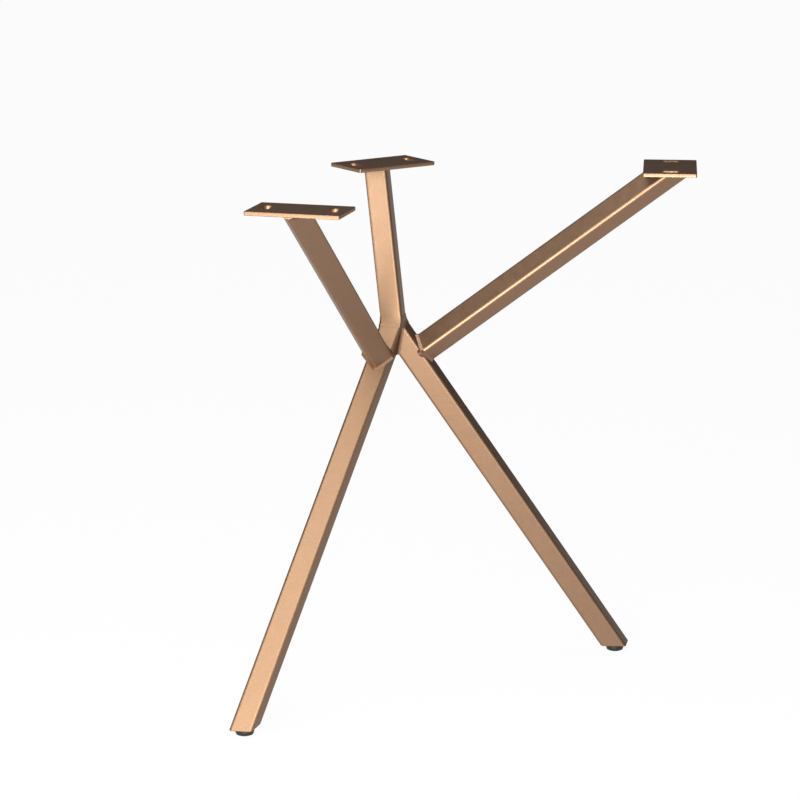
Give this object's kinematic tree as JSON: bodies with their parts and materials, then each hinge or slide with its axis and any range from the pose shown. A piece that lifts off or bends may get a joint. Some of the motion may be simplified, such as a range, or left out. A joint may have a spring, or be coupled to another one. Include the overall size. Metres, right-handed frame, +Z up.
{
  "type": "y-shaped table leg",
  "caption": "Welded square-tube table leg: legs splay as an upside-down Y below a middle arm, and side arms branch forward, each to a slotted mounting plate.",
  "frame": {"origin": "centre of the bounding box's bottom face: on the floor, on the mirror plane, midway between the rear plate's edge and the side plates' front corners", "axes": "+Z up, away from the floor; +Y to the rear, where the middle plate is; +X to the right of someone who faces the rear, from the left leg to the right leg"},
  "size_m": [0.706, 0.3488, 0.7],
  "materials": {
    "bronze_coating": "satin metallic bronze powder coat with a fine grain",
    "glide_plastic": "moulded, fine satin"
  },
  "bodies": {
    "root": {"junction_weld": "bronze_coating", "left_arm": "bronze_coating", "left_arm_weld": "bronze_coating", "left_end_plate": "bronze_coating", "left_glide": "glide_plastic", "left_leg": "bronze_coating", "left_plate": "bronze_coating", "left_plate_weld": "bronze_coating", "middle_arm": "bronze_coating", "middle_plate": "bronze_coating", "middle_plate_weld": "bronze_coating", "right_arm": "bronze_coating", "right_arm_weld": "bronze_coating", "right_end_plate": "bronze_coating", "right_glide": "glide_plastic", "right_leg": "bronze_coating", "right_plate": "bronze_coating", "right_plate_weld": "bronze_coating"}
  },
  "joints": []
}
